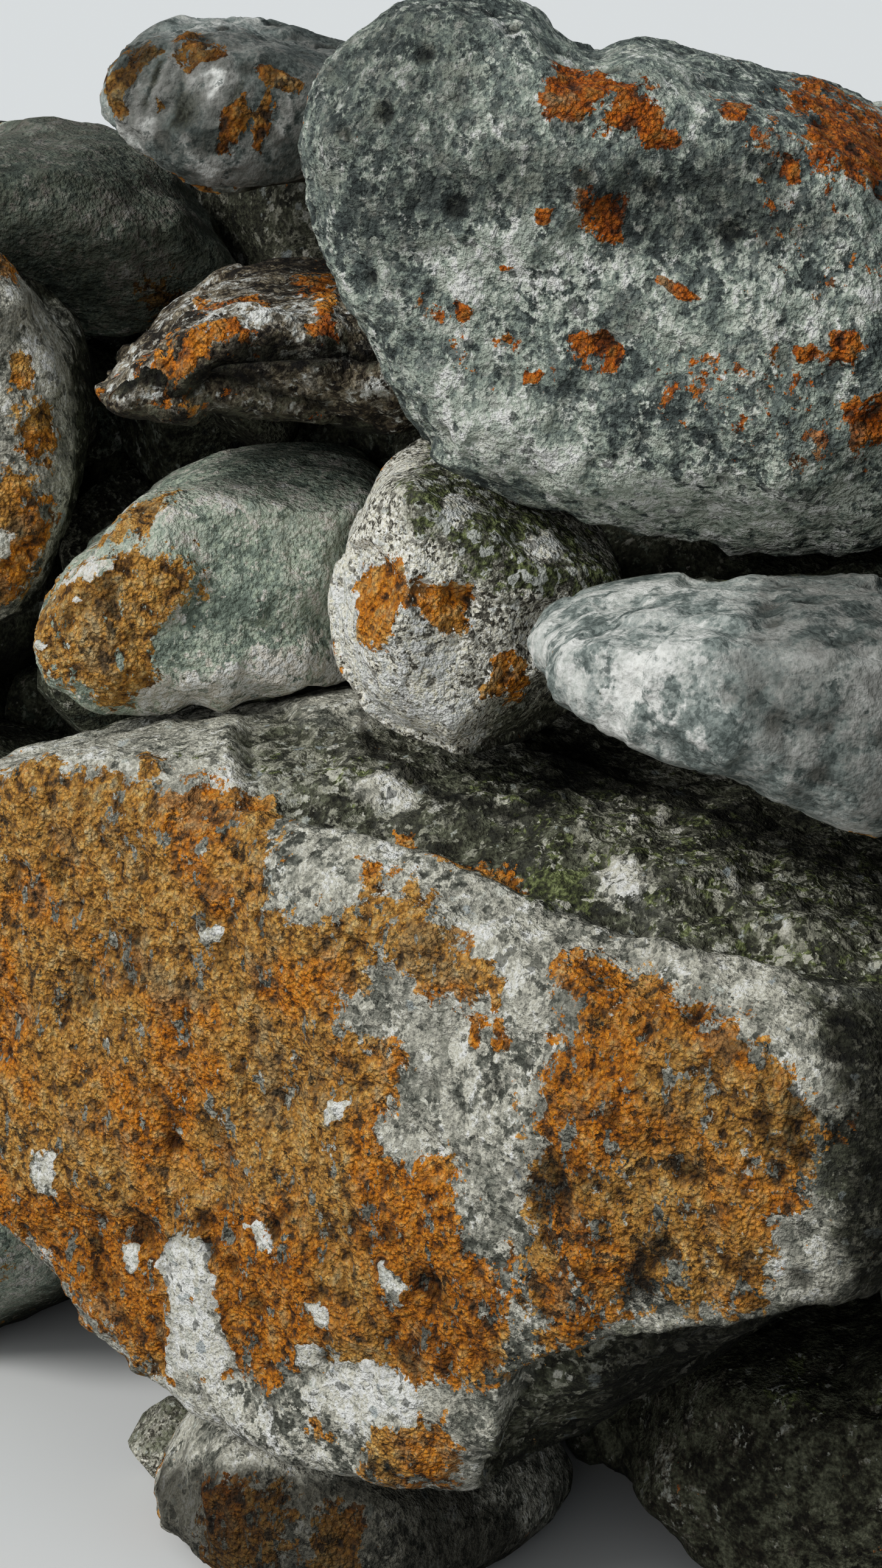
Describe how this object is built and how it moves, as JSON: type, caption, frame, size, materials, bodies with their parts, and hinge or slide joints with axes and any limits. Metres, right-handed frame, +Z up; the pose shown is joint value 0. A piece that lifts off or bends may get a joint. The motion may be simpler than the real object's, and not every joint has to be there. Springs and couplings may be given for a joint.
{
  "type": "dry stone wall section",
  "caption": "Free-standing section of a double dry stone wall: rough field boulders laid in courses without mortar, leaning and wedged on each other, with top stones.",
  "frame": {"origin": "centre of the wall's plan at ground level", "axes": "+X along the wall, +Y through it from the front face to the back face, +Z up"},
  "size_m": [1.8, 0.56, 0.7321],
  "materials": {
    "orange_lichen_stone": "rough field stone under granular orange lichen",
    "granite": "rough speckled granite",
    "green_grey_stone": "smooth weathered grey-green stone",
    "pale_lichen_stone": "rough stone under crusts of pale grey lichen",
    "speckled_stone": "rough grey stone spotted with grey-green and white lichen",
    "brown_slab": "dark split stone, unweathered underside"
  },
  "bodies": {
    "root": {"lichen_boulder": "orange_lichen_stone", "smooth_boulder": "green_grey_stone", "granite_cobble": "granite", "pale_slab": "pale_lichen_stone", "leaning_boulder": "speckled_stone", "bridging_slab": "brown_slab", "wedge_slab": "pale_lichen_stone", "grey_boulder": "green_grey_stone", "upright_stone": "orange_lichen_stone", "footing_cobble": "orange_lichen_stone", "footing_slab": "brown_slab", "front_base_1": "speckled_stone", "front_base_2": "green_grey_stone", "front_middle_1": "granite", "front_middle_2": "pale_lichen_stone", "front_upper_1": "speckled_stone", "front_upper_2": "orange_lichen_stone", "front_base_3": "speckled_stone", "front_base_4": "green_grey_stone", "front_middle_3": "granite", "front_middle_4": "pale_lichen_stone", "front_upper_3": "speckled_stone", "front_upper_4": "orange_lichen_stone", "rear_base_1": "speckled_stone", "rear_base_2": "green_grey_stone", "rear_base_3": "granite", "rear_base_4": "pale_lichen_stone", "rear_base_5": "speckled_stone", "rear_middle_1": "orange_lichen_stone", "rear_middle_2": "speckled_stone", "rear_middle_3": "green_grey_stone", "rear_middle_4": "granite", "rear_middle_5": "pale_lichen_stone", "rear_upper_1": "speckled_stone", "rear_upper_2": "orange_lichen_stone", "rear_upper_3": "speckled_stone", "rear_upper_4": "green_grey_stone", "rear_upper_5": "granite", "top_1": "pale_lichen_stone", "top_2": "speckled_stone", "top_3": "orange_lichen_stone"}
  },
  "joints": []
}
